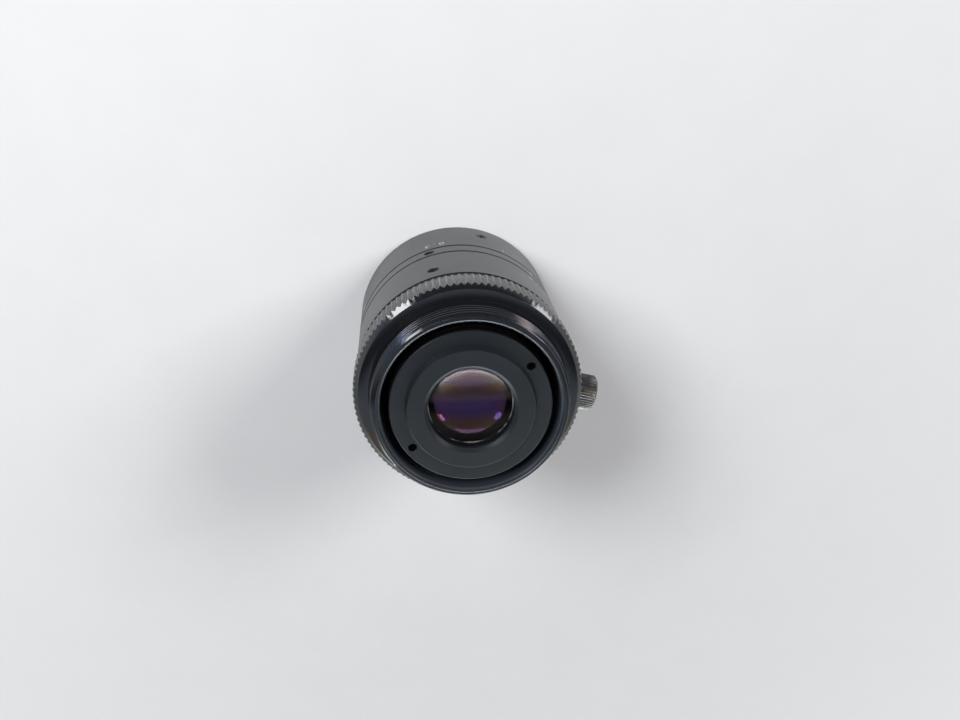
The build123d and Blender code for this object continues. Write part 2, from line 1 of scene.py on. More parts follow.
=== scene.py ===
# %% [markdown]
# # A small camera lens, dressed and lit
#
# The model is a lens for a machine vision camera. It stands on its front rim on a pale table, with the
# threaded mount on top, and a camera looks down on it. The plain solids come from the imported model.
# This script builds the smooth rings, the mount thread, the knurl, the glass and the painted scales over
# them, gives every piece its finish, and sets up the table, the lamps and the camera.
#
# The solids could be shown as they are, with better materials. Their round faces are cut into few flat
# strips though, and black metal shows each strip, so the rings that show are modelled again.

# %% Load the frame
import math

import bpy
from mathutils import Matrix, Vector


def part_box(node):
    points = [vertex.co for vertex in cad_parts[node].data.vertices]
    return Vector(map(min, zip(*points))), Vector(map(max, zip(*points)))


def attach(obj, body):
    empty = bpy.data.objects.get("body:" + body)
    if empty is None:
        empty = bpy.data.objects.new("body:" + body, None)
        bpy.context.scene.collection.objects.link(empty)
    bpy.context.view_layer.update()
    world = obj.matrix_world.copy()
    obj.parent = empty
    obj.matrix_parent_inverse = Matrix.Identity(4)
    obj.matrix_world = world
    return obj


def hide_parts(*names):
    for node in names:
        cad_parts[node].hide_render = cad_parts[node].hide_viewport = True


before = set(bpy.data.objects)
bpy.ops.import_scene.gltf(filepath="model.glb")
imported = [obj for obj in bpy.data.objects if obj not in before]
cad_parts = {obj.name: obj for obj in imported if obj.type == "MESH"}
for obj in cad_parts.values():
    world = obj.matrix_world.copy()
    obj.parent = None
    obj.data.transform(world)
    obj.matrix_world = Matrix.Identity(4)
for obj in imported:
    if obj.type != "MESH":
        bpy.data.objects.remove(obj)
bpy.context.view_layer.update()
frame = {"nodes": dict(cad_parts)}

MM = 0.001
bpy.ops.object.select_all(action="DESELECT")

# %% [markdown]
# ## Turning a ring
#
# Nearly every piece of a lens comes off a lathe. A ring could be a tube with a Solidify modifier, or an
# outline given to a Screw modifier. Here a circle of edges is extruded from corner to corner of the
# outline, as a potter pulls up a wall: one extrude along the axis and one resize at each step. It works
# for any outline, and the circle's number of points is the ring's smoothness.

# %% Outline to ring
STEPS = 216


def pick(obj, wanted):
    """Selects the points of a mesh in edit mode for which wanted(point) is true."""
    bpy.ops.mesh.select_mode(type="VERT")
    bpy.ops.mesh.select_all(action="DESELECT")
    bpy.ops.object.mode_set(mode="OBJECT")
    for vertex in obj.data.vertices:
        vertex.select = bool(wanted(vertex.co))
    bpy.ops.object.mode_set(mode="EDIT")


def fill_ends():
    """Fills every open loop of the mesh in edit mode."""
    bpy.ops.mesh.select_mode(type="VERT")
    bpy.ops.mesh.select_all(action="DESELECT")
    bpy.ops.mesh.select_non_manifold()
    bpy.ops.mesh.fill_holes(sides=0)


def smooth_faces(obj, sharp=32):
    """Shades a piece smooth, except across edges that turn by more than the angle sharp."""
    bpy.context.view_layer.objects.active = obj
    obj.select_set(True)
    bpy.ops.object.shade_smooth_by_angle(angle=math.radians(sharp))
    bpy.ops.object.select_all(action="DESELECT")
    return obj


def close_mesh(name, sharp=32):
    """Leaves edit mode with one closed, smooth mesh, and names it."""
    bpy.ops.mesh.select_all(action="SELECT")
    bpy.ops.mesh.remove_doubles(threshold=1e-7)
    bpy.ops.mesh.normals_make_consistent(inside=False)
    bpy.ops.object.mode_set(mode="OBJECT")
    obj = bpy.context.object
    obj.name = obj.data.name = name
    return smooth_faces(obj, sharp)


def step_to(start, end):
    """Extrudes the selected circle of edges from one corner of an outline to the next."""
    rise = (end[1] - start[1]) * MM
    bpy.ops.mesh.extrude_region_move(TRANSFORM_OT_translate={"value": (0, 0, rise)})
    grow = end[0] / start[0]
    bpy.ops.transform.resize(value=(grow, grow, 1), center_override=(0, 0, end[1] * MM))


def turned(name, outline, ends="join", steps=STEPS):
    """A turned piece from an outline of (radius, height) in mm. Its ends join up, or close on the axis."""
    radius, height = outline[0]
    bpy.ops.mesh.primitive_circle_add(vertices=steps, radius=radius * MM, enter_editmode=True)
    bpy.ops.mesh.select_all(action="SELECT")
    bpy.ops.transform.translate(value=(0, 0, height * MM))
    corners = list(outline) + ([outline[0]] if ends == "join" else [])
    if ends == "axis":
        bpy.ops.mesh.extrude_region_move()
        bpy.ops.mesh.merge(type="CENTER")
        pick(bpy.context.object, lambda point: abs(point.xy.length - radius * MM) < 1e-7
             and abs(point.z - height * MM) < 1e-7)
    for start, end in zip(corners, corners[1:]):
        step_to(start, end)
    if ends == "axis":
        bpy.ops.mesh.extrude_region_move()
        bpy.ops.mesh.merge(type="CENTER")
    return close_mesh(name)


def apply(obj, kind, **settings):
    """Adds a modifier to a piece and applies it."""
    bpy.context.view_layer.objects.active = obj
    modifier = obj.modifiers.new(kind.title(), kind)
    for key, value in settings.items():
        setattr(modifier, key, value)
    bpy.ops.object.modifier_apply(modifier=modifier.name)
    return obj


def break_edges(obj, width):
    """Rounds every sharp edge a little, as a deburring tool does."""
    apply(obj, "BEVEL", width=width * MM, segments=2, limit_method="ANGLE", angle_limit=math.radians(40),
          harden_normals=False)
    return smooth_faces(obj)


def cut(obj, cutters, operation="DIFFERENCE"):
    """Cuts a piece with other meshes, which go away, and keeps its round faces smooth."""
    for cutter in cutters:
        apply(obj, "BOOLEAN", object=cutter, operation=operation, solver="EXACT")
        bpy.data.objects.remove(cutter)
    return smooth_faces(obj)


def place(obj, location, turn=Matrix.Identity(4)):
    """Turns and moves a piece to a place in mm, and keeps the place in its mesh."""
    obj.matrix_world = Matrix.Translation(Vector(location) * MM) @ turn
    bpy.context.view_layer.objects.active = obj
    obj.select_set(True)
    bpy.ops.object.transform_apply(location=True, rotation=True, scale=True)
    bpy.ops.object.select_all(action="DESELECT")
    return obj


def outwards(angle, height, reach=0):
    """The place and turn that point a piece's +Z out of the lens at an angle, with its top to the rear."""
    a = math.radians(angle)
    out = Vector((math.cos(a), math.sin(a), 0))
    side = Vector((-math.sin(a), math.cos(a), 0))
    matrix = Matrix((side, Vector((0, 0, 1)), out)).transposed().to_4x4()
    return (reach * out.x, reach * out.y, height), matrix


def polar(radius, angle, height):
    """A point in metres, from a radius and a height in mm and an angle in radians."""
    return Vector((radius * MM * math.cos(angle), radius * MM * math.sin(angle), height * MM))


print("helpers ready, circles have", STEPS, "steps")

# %% [markdown]
# ## Sizes that pieces share
#
# Each ring runs on the one inside it, so a few radii turn up again and again. They are written once
# here, in mm. Heights are counted from the flange face, with the mount above it. What the solids
# already know, such as where each ring starts and ends, is read from their boxes.

# %% Shared radii, heights and angles
GREAT = 14.75
JOURNAL = 13.2
RING_BORE = 13.25
BOSS_TOP = 4.3
SHOULDER = -1.2
EDGE = 0.15
iris_low, iris_high = (v.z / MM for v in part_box("iris_ring"))
index_low, index_high = (v.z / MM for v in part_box("index_ring"))
focus_low, focus_high = (v.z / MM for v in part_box("focus_ring"))
PIN_HEIGHT = sum(v.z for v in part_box("iris_drive_pin")) / 2 / MM
GUIDE_HEIGHT = sum(v.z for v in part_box("guide_pins")) / 2 / MM
PIN_ANGLES = (285, 333)
IRIS_TAP_HEIGHT, IRIS_TAPS = -8.9, (105.9, 225.9, 345.9)
FOCUS_TAP_HEIGHT, FOCUS_TAPS = -25.2, (75.2, 195.2, 315.2)
print("rings from", round(iris_high, 2), "down to", round(focus_low, 2), "mm")

# %% [markdown]
# ## The mount thread
#
# The boss carries the standard thread of these cameras: one inch across, 32 turns to the inch, and
# right-handed. A bump map could fake it, but its lines catch the light one by one and break the
# outline, so it is real here. One tooth's section is swept up a helix by a Screw modifier. The coil is
# then trimmed by a turned blank and joined to the boss, which is how a die leaves it: full height in the
# middle, cut off square at the end, and a plain groove before the flange.

# %% The fixed tube and its thread
PITCH = 25.4 / 32
CREST = 12.7
ROOT = 12.25
RELIEF_END = 0.85


def thread_coil(name, crest, base, start, turns, steps=96):
    """A closed coil with one thread tooth as its section, from a height upwards."""
    flat = PITCH / 16
    half = flat + abs(crest - base) * math.tan(math.radians(30))
    side = [(base, half), (crest - 0.05, flat + 0.029), (crest - 0.015, flat + 0.004), (crest, flat - 0.025)]
    section = side + [(radius, -height) for radius, height in reversed(side)]
    bpy.ops.mesh.primitive_circle_add(vertices=len(section), radius=1)
    obj = bpy.context.object
    for vertex, (radius, height) in zip(obj.data.vertices, section):
        vertex.co = (radius * MM, 0, (start + height) * MM)
    apply(obj, "SCREW", axis="Z", angle=2 * math.pi, screw_offset=PITCH * MM, iterations=turns,
          steps=steps, render_steps=steps, use_merge_vertices=False)
    bpy.ops.object.mode_set(mode="EDIT")
    fill_ends()
    return close_mesh(name)


BOSS_BORE = 11.5
RELIEF = 12.1
RING_SEAT = 12.9
NUT_BORE = 12.0
NOSE_BORE = 12.65
NOSE, NUT_STEP, NUT_FLOOR = -26.5, -24.2, -18.8
tube_outline = [
    (BOSS_BORE + 0.25, BOSS_TOP), (RELIEF, BOSS_TOP), (ROOT, 4.15), (ROOT, RELIEF_END),
    (RELIEF, RELIEF_END - 0.15), (RELIEF, 0.0), (RING_SEAT, 0.0), (RING_SEAT, SHOULDER),
    (JOURNAL, SHOULDER), (JOURNAL, NOSE), (NOSE_BORE, NOSE), (NOSE_BORE, NUT_STEP),
    (NUT_BORE, NUT_STEP), (NUT_BORE, NUT_FLOOR), (BOSS_BORE, NUT_FLOOR), (BOSS_BORE, 4.05),
]
fixed_tube = break_edges(turned("fixed_tube", tube_outline), 0.05)
coil = thread_coil("thread_coil", CREST, ROOT - 0.06, -0.4, 8)
blank = turned("thread_blank", [
    (ROOT - 0.2, BOSS_TOP), (CREST - 0.35, BOSS_TOP), (CREST, 3.95), (CREST, RELIEF_END + 0.35),
    (ROOT - 0.1, RELIEF_END - 0.1), (ROOT - 0.2, RELIEF_END - 0.1),
])
cut(coil, [blank], "INTERSECT")
cut(fixed_tube, [coil], "UNION")
print("fixed tube", len(fixed_tube.data.polygons), "faces, thread pitch", round(PITCH, 4), "mm")

# %% [markdown]
# The tube is slotted for the pin that joins the iris ring to the works inside, and drilled for two
# guide pins. Neither shows while the rings are on, but they are part of the tube's form.

# %% Slot and pin holes of the tube
def radial_bar(name, radius, inner, outer, angle, height, steps=32):
    """A round bar that points out of the lens, such as a drill."""
    bpy.ops.mesh.primitive_cylinder_add(vertices=steps, radius=radius * MM, depth=(outer - inner) * MM)
    bar = bpy.context.object
    bar.name = name
    return place(bar, *outwards(angle, height, (inner + outer) / 2))


def slot_cutter(inner, outer, low, high, angles):
    """A block of a ring between two angles. A face is drawn at the first and spun to the second."""
    start, end = angles
    bpy.ops.mesh.primitive_plane_add(size=1, enter_editmode=True)
    obj = bpy.context.object
    bpy.ops.mesh.select_all(action="SELECT")
    a = math.radians(start)
    bpy.ops.transform.resize(value=((outer - inner) * MM, (high - low) * MM, 1))
    bpy.ops.object.mode_set(mode="OBJECT")
    out = Vector((math.cos(a), math.sin(a), 0))
    turn = Matrix((out, Vector((0, 0, 1)), out.cross(Vector((0, 0, 1))))).transposed().to_4x4()
    middle = out * (inner + outer) / 2
    place(obj, (middle.x, middle.y, (low + high) / 2), turn)
    bpy.ops.object.mode_set(mode="EDIT")
    bpy.ops.mesh.select_all(action="SELECT")
    # A positive spin turns clockwise here.
    bpy.ops.mesh.spin(steps=24, angle=math.radians(start - end), axis=(0, 0, 1), center=(0, 0, 0))
    bpy.ops.mesh.select_all(action="SELECT")
    bpy.ops.mesh.normals_make_consistent(inside=False)
    bpy.ops.object.mode_set(mode="OBJECT")
    bpy.ops.object.select_all(action="DESELECT")
    return obj


DRILL = 0.7
INNER, OUTER = 10.6, 14.2
bars = [slot_cutter(INNER, OUTER, PIN_HEIGHT - DRILL, PIN_HEIGHT + DRILL, PIN_ANGLES)]
bars += [radial_bar("slot_end", DRILL, INNER, OUTER, angle, PIN_HEIGHT) for angle in PIN_ANGLES]
bars += [radial_bar("guide_hole", DRILL, INNER, OUTER, angle, GUIDE_HEIGHT) for angle in (50, 230)]
cut(fixed_tube, bars)
print("fixed tube after drilling", len(fixed_tube.data.polygons), "faces")

# %% [markdown]
# ## The knurled grip ring
#
# Straight grooves all round the ring behind the flange give the fingers a grip. They could be cut one
# by one. Here one tooth is modelled and copied 108 times round the axis: a line of points runs down the
# ring's outline and is spun through one tooth's width, and each column is then moved to where the tooth
# stands at that angle. The chamfer cuts the tips lower than the valleys, which scallops its edge.

# %% One tooth, copied round
TEETH = 108
TIP = 15.0
KNURL_DEPTH = 0.26
TOOTH_END = TIP - 0.15 - KNURL_DEPTH / 2
GRIP_END = -4.55


def tooth_columns(tip, depth, teeth):
    """Angles and radii across one tooth: a valley, a straight flank and a slightly rounded crest."""
    pitch = 2 * math.pi / teeth
    half = [(0.5, 0.06), (0.45, 0.08), (0.4, 0.18), (0.13, 0.78), (0.07, 0.92), (0.03, 0.99)]
    profile = [(-share, level) for share, level in half] + [(0.0, 1.0)] + half[::-1]
    return [(share * pitch, tip - depth + depth * level) for share, level in profile]


def toothed(name, teeth, columns, rows_at):
    """A ring of equal teeth. rows_at(radius) gives the outline where the tooth stands at that radius."""
    first = rows_at(columns[0][1])
    start = columns[0][0]
    bpy.ops.mesh.primitive_plane_add(size=1, enter_editmode=True)
    obj = bpy.context.object
    bpy.ops.mesh.select_all(action="SELECT")
    bpy.ops.mesh.merge(type="CENTER")
    at = polar(first[0][0], start, first[0][1])
    bpy.ops.transform.translate(value=at)
    for radius, height in first[1:]:
        to = polar(radius, start, height)
        bpy.ops.mesh.extrude_vertices_move(TRANSFORM_OT_translate={"value": to - at})
        at = to
    bpy.ops.mesh.select_all(action="SELECT")
    width = columns[-1][0] - start
    bpy.ops.mesh.spin(steps=len(columns) - 1, angle=-width, axis=(0, 0, 1), center=(0, 0, 0))
    bpy.ops.object.mode_set(mode="OBJECT")
    even = width / (len(columns) - 1)
    spots = {}
    for vertex in obj.data.vertices:
        angle = math.atan2(vertex.co.y, vertex.co.x)
        column = round((angle - start) / even)
        row = min(range(len(first)), key=lambda i: (vertex.co.xy.length - first[i][0] * MM) ** 2
                  + (vertex.co.z - first[i][1] * MM) ** 2)
        spots.setdefault(column, {})[row] = vertex.index
    for column, (angle, tooth_radius) in enumerate(columns):
        for row, (radius, height) in enumerate(rows_at(tooth_radius)):
            obj.data.vertices[spots[column][row]].co = polar(radius, angle, height)
    bpy.ops.object.mode_set(mode="EDIT")
    bpy.ops.mesh.select_all(action="SELECT")
    bpy.ops.mesh.spin(steps=teeth - 1, dupli=True, angle=2 * math.pi * (teeth - 1) / teeth,
                      axis=(0, 0, 1), center=(0, 0, 0))
    return close_mesh(name, 40)


def grip_rows(radius):
    """The grip ring's outline where a tooth stands at a radius: flange, chamfer, tooth, front face."""
    soft = 0.025
    corner = -(radius - 14.25)
    bottom = -4.4 - 0.15 * (TIP - radius) / (TIP - TOOTH_END)
    return [
        (12.93, -0.03), (12.96, 0.0), (14.23, 0.0), (14.26, -0.012), (14.3, -0.05),
        (radius - 1.4 * soft, corner + 1.4 * soft), (radius - 0.4 * soft, corner + 0.2 * soft),
        (radius, corner - soft), (radius, bottom + soft), (radius - 0.4 * soft, bottom + 0.1 * soft),
        (TOOTH_END - 0.02, GRIP_END), (TOOTH_END - 0.1, GRIP_END),
        (JOURNAL + 0.05, GRIP_END), (JOURNAL, -4.5), (JOURNAL, SHOULDER), (12.93, SHOULDER), (12.93, -0.1),
    ]


grip_ring = toothed("grip_ring", TEETH, tooth_columns(TIP, KNURL_DEPTH, TEETH), grip_rows)
print("grip ring", len(grip_ring.data.polygons), "faces,", TEETH, "teeth")

# %% [markdown]
# ## The three smooth rings
#
# A wide ring sets the iris, a narrow fixed ring carries the index line, and the front ring focuses.
# Each has a small chamfer at its edges, which leaves the thin dark lines between them, and the wide
# ring has a shallow neck beside the knurl, which draws the dark line there. The finish also paints the
# neck, the chamfers of the wide and narrow rings and bands beside the joints black, as painted shade.
# The front ring also has a fine thread for a filter, drawn as three plain grooves, because nobody sees
# how such a thread climbs.
#
# Both turning rings have three tapped holes for the lock screw, so that it can be put out of the way.
# They are cut by a drill with a flared neck and a few thread ridges. The flare saves a bevel on the
# hole's rim, which is slow to get right on a round face.

# %% A tapping drill
TAP_DEPTH = 13.0
RIDGES = 4


def tap(angle, height, radius=0.8):
    """A cutter for a tapped hole: thread ridges, and a neck that flares at the ring's surface."""
    outline = [(radius, TAP_DEPTH)]
    pitch = (GREAT - 0.18 - TAP_DEPTH) / RIDGES
    for n in range(RIDGES):
        outline += [(radius, TAP_DEPTH + n * pitch + 0.04), (radius - 0.11, TAP_DEPTH + (n + 0.5) * pitch)]
    outline += [(radius, GREAT - 0.08), (radius + 0.1, GREAT + 0.02), (radius + 0.1, GREAT + 1)]
    cutter = turned("tap", outline, ends="axis", steps=48)
    return place(cutter, *outwards(angle, height))


print("each tapped hole has", RIDGES, "ridges")


# %% The iris ring and the index ring
BREAK = 0.03
NECK = iris_high - 1.05
wide_ring = break_edges(turned("wide_ring", [
    (RING_BORE, iris_high), (GREAT - 0.25, iris_high), (GREAT - EDGE, iris_high - 0.1),
    (GREAT - EDGE, NECK), (GREAT, NECK), (GREAT, iris_low + EDGE), (GREAT - EDGE, iris_low),
    (RING_BORE, iris_low),
]), BREAK)
cut(wide_ring, [tap(angle, IRIS_TAP_HEIGHT) for angle in IRIS_TAPS])
cut(wide_ring, [radial_bar("pin_bore", 0.6, 13.0, 16.0, PIN_ANGLES[0], PIN_HEIGHT),
                radial_bar("pin_seat", 1.0, GREAT - 0.6, 16.0, PIN_ANGLES[0], PIN_HEIGHT, 48)])

narrow_ring = break_edges(turned("narrow_ring", [
    (JOURNAL, index_high), (GREAT - EDGE, index_high), (GREAT, index_high - EDGE), (GREAT, index_low + EDGE),
    (GREAT - EDGE, index_low), (JOURNAL, index_low),
]), BREAK)
SET_HEIGHT = (index_low + index_high) / 2
cut(narrow_ring, [tap(angle, SET_HEIGHT, radius=0.72) for angle in (107, 227, 347)])
for ring in (wide_ring, narrow_ring):
    print(ring.name, len(ring.data.polygons), "faces")

# %% The front ring and its filter thread
FILTER_PITCH = 0.5
THREAD_ROOT = RING_BORE + 0.2
WEB_BORE, WEB_LOW, WEB_HIGH = 11.95, -27.4, -26.7
filter_thread = []
for n in range(3):
    groove = focus_low + 0.4 + n * FILTER_PITCH
    filter_thread += [(RING_BORE, groove), (THREAD_ROOT, groove + 0.2), (THREAD_ROOT, groove + 0.26),
                      (RING_BORE, groove + 0.44)]
front_ring = turned("front_ring", [
    (RING_BORE, focus_high), (GREAT - EDGE, focus_high), (GREAT, focus_high - EDGE),
    (GREAT, focus_low + 0.35), (GREAT - 0.35, focus_low), (RING_BORE + 0.25, focus_low),
    (RING_BORE, focus_low + 0.25),
] + filter_thread + [(RING_BORE, WEB_LOW), (WEB_BORE, WEB_LOW), (WEB_BORE, WEB_HIGH), (RING_BORE, WEB_HIGH)])
break_edges(front_ring, BREAK)
cut(front_ring, [tap(angle, FOCUS_TAP_HEIGHT) for angle in FOCUS_TAPS])
print(front_ring.name, len(front_ring.data.polygons), "faces")

# %% [markdown]
# ## The rear cell
#
# The face round the rear glass is a turned cup. It has a raised hub in the middle, and two blind holes for
# the pins of a spanner. The hub stands only 0.85 mm high on a sloping shoulder, but it draws the circle
# that the eye reads as a second ring, so its edge stays crisp. A fine lip at the glass catches the light
# as a thin arc.

# %% Cell and spanner holes
cell_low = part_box("rear_cell")[0].z / MM
CELL_FACE, HUB_TOP = 4.0, 4.85
CELL_EDGE, HUB_EDGE, HUB_BORE, LIP_BORE, GLASS_BORE = 10.35, 8.06, 5.5, 5.3, 7.55
rear_cell = turned("glass_cell", [
    (GLASS_BORE, cell_low), (9.45, cell_low), (9.45, 2.6), (CELL_EDGE, 2.6), (CELL_EDGE, 3.85),
    (10.2, CELL_FACE), (HUB_EDGE + 0.3, CELL_FACE), (HUB_EDGE, HUB_TOP), (5.95, HUB_TOP), (HUB_BORE, 4.4),
    (HUB_BORE, 3.12), (LIP_BORE, 2.96), (LIP_BORE, 2.9), (GLASS_BORE, 2.9),
])
break_edges(rear_cell, 0.04)
HOLE_CIRCLE = (HUB_EDGE + CELL_EDGE) / 2


def spanner_drill(angle):
    """A cutter for a blind hole with a pointed floor and a lightly broken rim."""
    drill = turned("drill", [
        (0.02, 2.65), (0.55, 2.8), (0.55, 3.93), (0.66, 4.04), (0.66, 5.0),
    ], ends="axis", steps=48)
    a = math.radians(angle)
    return place(drill, (HOLE_CIRCLE * math.cos(a), HOLE_CIRCLE * math.sin(a), 0))


cut(rear_cell, [spanner_drill(angle) for angle in (35.5, 215.5)])
print("glass cell", len(rear_cell.data.polygons), "faces")

# %% [markdown]
# ## The lock screws
#
# A thumb screw holds each turning ring. Its head has a smooth collar and a knurled grip with a
# chamfered end. The whole screw is one tooth copied round, like the grip ring: its outline follows the
# tooth along the grip, and stays round along the collar and the shank.

# %% Lock screws
HEAD = 2.5
HEAD_TEETH = 40
HEAD_DEPTH = 0.15
HEAD_LENGTH = 2.85
COLLAR = 0.8
START = GREAT + 0.4
SHANK, SHANK_END = 0.75, 13.26


def head_rows(radius):
    """The screw head's outline where a tooth stands at a radius, from the end's dished middle."""
    low = START + COLLAR
    high = low + HEAD_LENGTH
    slope = HEAD - radius
    return [
        (0.05, high - 0.02), (1.3, high - 0.02), (1.5, high), (HEAD - 0.38, high), (HEAD - 0.35, high - 0.01),
        (radius - 0.04, high - 0.35 + slope + 0.04), (radius, high - 0.35 + slope - 0.02),
        (radius, low + 0.2 - 0.5 * slope), (radius - 0.03, low + 0.15 - 0.5 * slope),
        (HEAD - 0.27, low), (HEAD - 0.25, low - 0.02), (HEAD - 0.25, START + 0.05), (HEAD - 0.3, START),
        (SHANK, START), (SHANK, 13.6), (0.55, SHANK_END), (0.05, SHANK_END),
    ]


def lock_screw(name, angle, height):
    """A thumb screw, pointed at the axis."""
    head = toothed(name, HEAD_TEETH, tooth_columns(HEAD, HEAD_DEPTH, HEAD_TEETH), head_rows)
    bpy.context.view_layer.objects.active = head
    bpy.ops.object.mode_set(mode="EDIT")
    fill_ends()
    close_mesh(name, 40)
    return place(head, *outwards(angle, height))


iris_thumb_screw = lock_screw("iris_thumb_screw", IRIS_TAPS[-1], IRIS_TAP_HEIGHT)
focus_thumb_screw = lock_screw("focus_thumb_screw", FOCUS_TAPS[-1], FOCUS_TAP_HEIGHT)
print("lock screw", len(iris_thumb_screw.data.polygons), "faces each")

# %% [markdown]
# ## The glass
#
# Six elements sit in two groups. Each is turned from its two curves, with many steps, because a
# highlight on a lens slides along the curve and shows every flat. A recipe gives an element's radius in
# mm, and the radius of each polished face as a multiple of it, negative where the face bulges to the rear.

# %% Six elements
def sag(curve, radius):
    """How far a polished face lies above its middle at a radius."""
    size = abs(curve)
    return math.copysign(size - math.sqrt(size * size - radius * radius), curve)


BEVEL = 0.08
CURVE_POINTS = 26


def element(node, name, radius, front_curve, rear_curve):
    """A lens element with a narrow ground bevel at each edge, as high as its solid's box."""
    low, high = (v.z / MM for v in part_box(node))
    front_middle = low - min(0, sag(front_curve, radius))
    rear_middle = high - max(0, sag(rear_curve, radius))
    print(name, "middles", round(front_middle, 3), round(rear_middle, 3))
    shares = [0.015] + [(n + 1) / CURVE_POINTS for n in range(CURVE_POINTS)]
    rims = [share * (radius - BEVEL) for share in shares]
    front = [(r, front_middle + sag(front_curve, r)) for r in rims]
    rear = [(r, rear_middle + sag(rear_curve, r)) for r in rims]
    edge = [(radius, front[-1][1] + BEVEL), (radius, rear[-1][1] - BEVEL)]
    return turned(name, front + edge + rear[::-1], ends="axis", steps=144)


FRONT_GROUP, REAR_GROUP = 8.8, 7.5
RECIPES = {
    "front_glass": ("front_lens", FRONT_GROUP, 2.5, 3.4),
    "second_glass": ("second_lens", FRONT_GROUP, 2.7, 2.05),
    "third_glass": ("third_lens", FRONT_GROUP, -4.5, -6.8),
    "pair_front_glass": ("flint_lens", REAR_GROUP, -5.3, 2.4),
    "pair_rear_glass": ("crown_lens", REAR_GROUP, 2.4, -3.2),
    "rear_glass": ("rear_lens", REAR_GROUP, 4.5, -2.15),
}
lenses = {
    node: element(node, name, radius, front_bend * radius, rear_bend * radius)
    for node, (name, radius, front_bend, rear_bend) in RECIPES.items()
}

# %% [markdown]
# ## The painted scales
#
# The numbers are filled with white paint. They could be a texture, but then they would blur up close.
# Each figure is a text object turned into a mesh, given a hair of thickness, and set on the ring at its
# own angle, so that a word bends with the ring. The figures stand upright when the mount is up.

# %% Figures
FIGURE = 1.25
PAINT = 0.012
FONT_SIZE = 1.38
THINNER = -0.011


def joined(name, parts):
    """Several painted marks as one piece."""
    for part in parts:
        part.select_set(True)
    bpy.context.view_layer.objects.active = parts[0]
    bpy.ops.object.join()
    whole = bpy.context.object
    whole.name = whole.data.name = name
    bpy.ops.object.select_all(action="DESELECT")
    return whole


def figure(text, angle, height, size=FIGURE):
    """One painted character on a ring, size mm high. It is centred on its own outline."""
    bpy.ops.object.text_add()
    obj = bpy.context.object
    obj.data.body = text
    obj.data.size = size * FONT_SIZE * MM
    obj.data.align_x = "CENTER"
    obj.data.align_y = "CENTER"
    obj.data.extrude = PAINT * MM
    obj.data.offset = THINNER * obj.data.size
    bpy.ops.object.convert(target="MESH")
    obj = bpy.context.object
    bpy.ops.object.mode_set(mode="EDIT")
    bpy.ops.mesh.select_all(action="SELECT")
    bpy.ops.mesh.remove_doubles(threshold=1e-7)
    bpy.ops.object.mode_set(mode="OBJECT")
    across = [v.co.x for v in obj.data.vertices]
    along = [v.co.y for v in obj.data.vertices]
    lift = min(along) + size / 2 * MM if text == "." else (min(along) + max(along)) / 2
    where, turn = outwards(angle, height, GREAT)
    centred = turn @ Matrix.Translation((-(min(across) + max(across)) / 2, -lift, 0))
    return place(obj, where, centred)


def scale(name, labels, height, spacing=4.2, size=FIGURE):
    """Labels round a ring as one painted piece. labels is a list of (text, angle)."""
    parts = []
    for text, middle in labels:
        first = middle - spacing * (len(text) - 1) / 2
        parts += [figure(letter, first + spacing * n, height, size) for n, letter in enumerate(text)]
    return joined(name, parts)


focus_scale = scale("focus_scale", [("1", 63.6), ("0.3", 103.4), ("0.15", 166)], -20.7)
IRIS_MARKS = [("1.4", 46), ("2", 29.5), ("4", 11.6), ("8", 2.8), ("C", -2.2)]
iris_scale = scale("iris_scale", IRIS_MARKS, -13.95, spacing=2.6, size=1.1)
print("scales", len(focus_scale.data.vertices), len(iris_scale.data.vertices), "points")

# %% Index line and ticks
def line_mark(name, angle, low, high, width):
    """A painted line along the lens."""
    bpy.ops.mesh.primitive_plane_add(size=1, enter_editmode=True)
    obj = bpy.context.object
    bpy.ops.mesh.select_all(action="SELECT")
    bpy.ops.transform.resize(value=(width * MM, (high - low) * MM, 1))
    bpy.ops.mesh.bevel(offset=0.3 * width * MM, segments=3, affect="VERTICES")
    bpy.ops.mesh.extrude_region_move(TRANSFORM_OT_translate={"value": (0, 0, 2 * PAINT * MM)})
    bpy.ops.mesh.select_all(action="SELECT")
    bpy.ops.mesh.normals_make_consistent(inside=False)
    bpy.ops.object.mode_set(mode="OBJECT")
    obj.name = obj.data.name = name
    return place(obj, *outwards(angle, (low + high) / 2, GREAT - PAINT))


INDEX_ANGLE = IRIS_MARKS[0][1]
index_line = line_mark("index_line", INDEX_ANGLE, index_low + 0.4, index_high - 0.4, 0.22)
iris_ticks = joined("iris_ticks", [
    line_mark("tick", angle, iris_low + 0.3, iris_low + 0.8, 0.14) for label, angle in IRIS_MARKS])
print("index line and", len(IRIS_MARKS), "ticks")

# %% [markdown]
# ## Flat faces that shade flat
#
# A smooth edge between two broad faces bends the shading of both. The Weighted Normal modifier lets the
# larger face decide, so that the flats mirror like flats and only the broken edges turn the light.

# %% Weighted normals
for piece in (fixed_tube, grip_ring, wide_ring, narrow_ring, front_ring, rear_cell):
    apply(piece, "WEIGHTED_NORMAL", mode="FACE_AREA", keep_sharp=True)
print("flat faces set on six pieces")

# %% [markdown]
# ## Shader maths in plain Python
#
# A finish is worked out from a point's own place: how far it is from the axis, how high it is, and a
# few noises. Each sum would be a Math node wired by hand. The small class below wraps a socket, so that
# `1 - mask * 0.4` adds those nodes by itself, and a finish reads as its formula. Every other node comes
# from one method of the tree it stands in, which is a finish's here and the room's further on.

